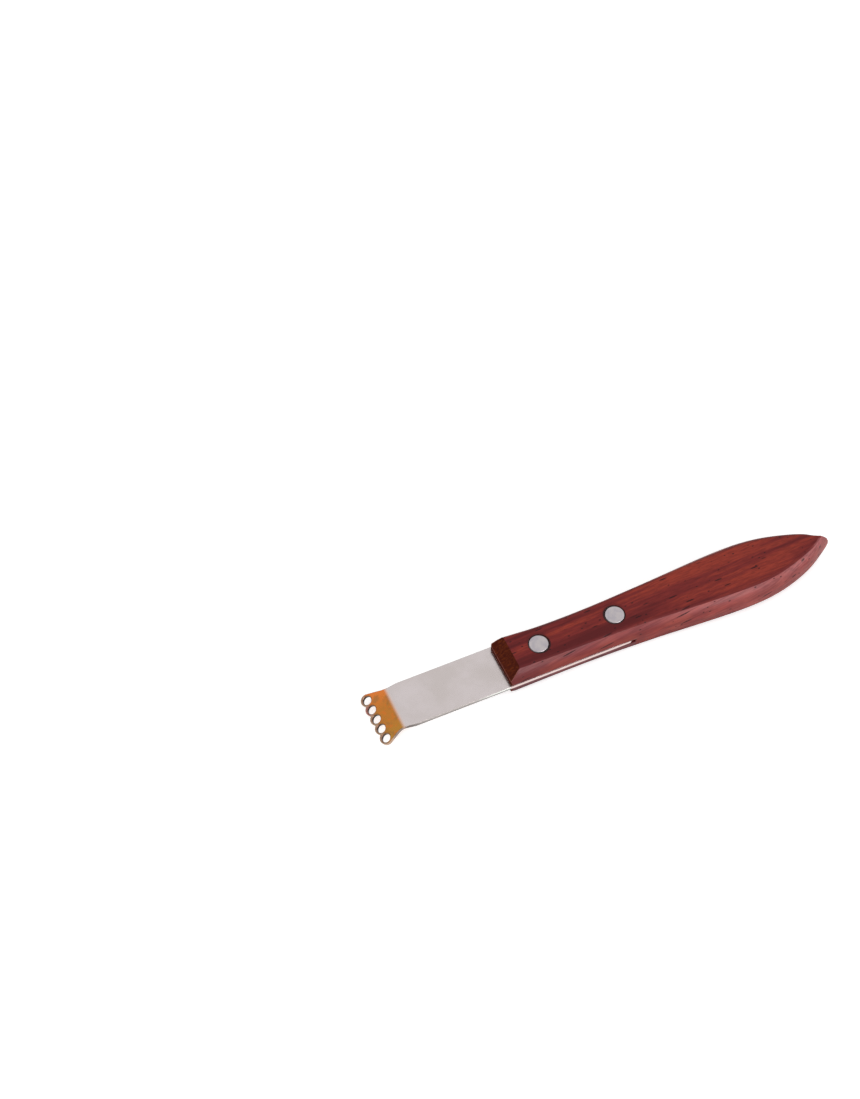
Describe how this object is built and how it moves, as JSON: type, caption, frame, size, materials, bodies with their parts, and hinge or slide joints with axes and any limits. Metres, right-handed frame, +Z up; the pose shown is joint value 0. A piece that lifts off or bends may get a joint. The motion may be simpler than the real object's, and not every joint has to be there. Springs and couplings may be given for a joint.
{
  "type": "citrus zester",
  "caption": "Hand citrus zester: a flat steel blade with a bent-down head of sharp-edged cutting holes, riveted into a saw kerf in a shaped hardwood handle.",
  "frame": {"origin": "on the table under the middle of the tool: centre of the bounding box in X and Y, at the underside of the handle in Z", "axes": "+X runs along the tool from the cutting head to the butt of the handle, +Y runs across it to the left of someone who looks along +X, +Z points up out of the flat top of the handle"},
  "size_m": [0.1524, 0.0202, 0.0112],
  "materials": {
    "handle_wood": "oiled satin",
    "blade_steel": "fine satin",
    "rivet_metal": "matte"
  },
  "bodies": {
    "root": {"handle": "handle_wood", "blade": "blade_steel", "front_rivet_tube": "rivet_metal", "front_rivet_pin": "rivet_metal", "rear_rivet_tube": "rivet_metal", "rear_rivet_pin": "rivet_metal"}
  },
  "joints": []
}
